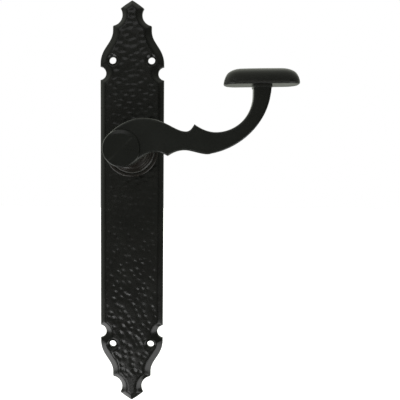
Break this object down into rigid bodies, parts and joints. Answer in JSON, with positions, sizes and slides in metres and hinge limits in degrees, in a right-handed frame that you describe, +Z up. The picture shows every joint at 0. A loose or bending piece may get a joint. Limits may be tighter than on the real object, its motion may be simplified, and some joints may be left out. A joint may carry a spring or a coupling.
{
  "type": "door lever handle",
  "caption": "Door lever handle in a wrought-iron style: a scrolled lever with a palm pad, sprung and turning in a tall hammered plate with pointed ends.",
  "frame": {"origin": "on the spindle axis, in the plane of the door's face", "axes": "+X along the lever at rest, +Y into the door along the spindle, +Z up along the plate"},
  "size_m": [0.1378, 0.1245, 0.3],
  "materials": {
    "plate_black": "satin black powder coat over hammered metal",
    "lever_black": "satin black powder coat over cast and turned metal",
    "zinc_steel": "bright zinc plate",
    "pin_steel": "ground steel, lightly oiled",
    "spring_steel": "drawn spring steel, lightly oiled",
    "screw_black": "black oxide",
    "bush_nylon": "natural nylon"
  },
  "bodies": {
    "plate": {"backplate": "plate_black", "neck_collar": "plate_black", "spring_housing": "zinc_steel", "housing_posts": "plate_black", "housing_screws": "zinc_steel", "neck_bush": "bush_nylon", "stop_pins": "pin_steel", "anchor_pin": "pin_steel", "return_spring": "spring_steel"},
    "lever": {"neck": "lever_black", "drive_pin": "pin_steel", "thrust_washer": "bush_nylon", "wave_washer": "spring_steel", "retaining_ring": "spring_steel", "spindle": "zinc_steel", "grub_screw": "screw_black", "lever_arm": "lever_black", "hub_cap": "lever_black", "pad_collar": "lever_black", "pad_stud": "pin_steel", "palm_pad": "lever_black"}
  },
  "joints": [
    {"name": "lever_turn", "type": "hinge", "parent": "plate", "child": "lever", "pos_m": [0, 0, 0], "axis": [0, 1, 0], "range_deg": [0, 45], "stiffness_Nm_per_rad": 0.6, "springref_deg": -45.84, "deforming": ["return_spring"]}
  ]
}
